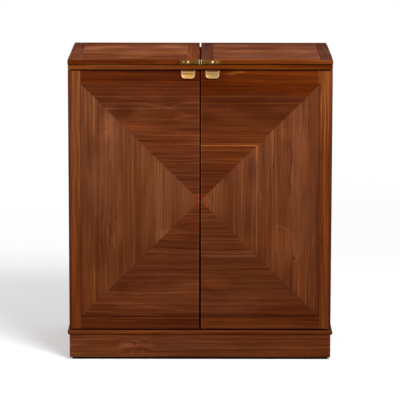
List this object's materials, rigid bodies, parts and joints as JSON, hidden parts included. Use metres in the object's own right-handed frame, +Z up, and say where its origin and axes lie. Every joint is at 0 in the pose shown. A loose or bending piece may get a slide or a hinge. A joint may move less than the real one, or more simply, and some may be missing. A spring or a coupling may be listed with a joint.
{
  "type": "bar armoire",
  "caption": "Tall two-door bar armoire with a split flip-out top, bottle caddies on the doors, crossed bottle bins, shelves and a stemware rack on a ledged plinth.",
  "frame": {"origin": "on the floor under the middle of the whole piece", "axes": "+X to the right seen from the front, -Y out of the doors, +Z up"},
  "size_m": [0.913, 0.5466, 1.04],
  "materials": {
    "walnut_veneer": "satin lacquered walnut veneer",
    "walnut_lip": "satin lacquered solid walnut",
    "interior_wood": "satin sealed walnut",
    "brass": "brushed and lacquered",
    "aged_brass": "aged satin",
    "hinge_brass": "satin",
    "black_paint": "matt black paint",
    "steel": "brushed",
    "brown_plastic": "matt",
    "rubber": "matt"
  },
  "bodies": {
    "case": {"foot_board": "black_paint", "plinth_front": "walnut_veneer", "plinth_left": "walnut_veneer", "plinth_right": "walnut_veneer", "plinth_back": "walnut_veneer", "base_ledge": "walnut_lip", "top_deck": "walnut_lip", "side_panel_left": "walnut_veneer", "side_panel_right": "walnut_veneer", "back_panel": "interior_wood", "floor_panel": "interior_wood", "middle_shelf": "interior_wood", "lower_divider": "interior_wood", "upper_divider": "interior_wood", "cross_board": "interior_wood", "cross_half_upper": "interior_wood", "cross_half_lower": "interior_wood", "lower_shelf": "interior_wood", "upper_shelf": "interior_wood", "stem_rack": "interior_wood", "stem_cleat_outer": "interior_wood", "stem_cleat_inner": "interior_wood", "magnet_catch_left": "brown_plastic", "magnet_catch_right": "brown_plastic", "knife_hinge_left_top_case": "hinge_brass", "knife_hinge_left_bottom_case": "hinge_brass", "knife_hinge_right_top_case": "hinge_brass", "knife_hinge_right_bottom_case": "hinge_brass", "flap_hinge_left_deck": "hinge_brass", "flap_hinge_right_deck": "hinge_brass"},
    "left_door": {"door_left": "walnut_veneer", "pull_left": "brass", "strike_plate_left": "steel", "caddy_left_cheek_hinge": "interior_wood", "caddy_left_cheek_seam": "interior_wood", "caddy_left_shelf_lower": "interior_wood", "caddy_left_shelf_upper": "interior_wood", "caddy_left_rail_lower": "brass", "caddy_left_rail_upper": "brass", "knife_hinge_left_top_door": "hinge_brass", "knife_hinge_left_bottom_door": "hinge_brass"},
    "right_door": {"door_right": "walnut_veneer", "pull_right": "brass", "strike_plate_right": "steel", "caddy_right_cheek_hinge": "interior_wood", "caddy_right_cheek_seam": "interior_wood", "caddy_right_shelf_lower": "interior_wood", "caddy_right_shelf_upper": "interior_wood", "caddy_right_rail_lower": "brass", "caddy_right_rail_upper": "brass", "knife_hinge_right_top_door": "hinge_brass", "knife_hinge_right_bottom_door": "hinge_brass"},
    "left_leaf": {"leaf_left": "walnut_veneer", "lift_plate_left": "aged_brass", "leaf_bumper_left": "rubber", "flap_hinge_left_leaf": "hinge_brass"},
    "right_leaf": {"leaf_right": "walnut_veneer", "lift_plate_right": "aged_brass", "leaf_bumper_right": "rubber", "flap_hinge_right_leaf": "hinge_brass"}
  },
  "joints": [
    {"name": "left_door_swing", "type": "hinge", "parent": "case", "child": "left_door", "pos_m": [-0.444, -0.25675, 0.55625], "axis": [0, 0, -1], "range_deg": [0, 110]},
    {"name": "right_door_swing", "type": "hinge", "parent": "case", "child": "right_door", "pos_m": [0.444, -0.25675, 0.55625], "axis": [0, 0, 1], "range_deg": [0, 110]},
    {"name": "left_leaf_flip", "type": "hinge", "parent": "case", "child": "left_leaf", "pos_m": [-0.45375, 0.02325, 1.02575], "axis": [0, -1, 0], "range_deg": [0, 180]},
    {"name": "right_leaf_flip", "type": "hinge", "parent": "case", "child": "right_leaf", "pos_m": [0.45375, 0.02325, 1.02575], "axis": [0, 1, 0], "range_deg": [0, 180]}
  ]
}
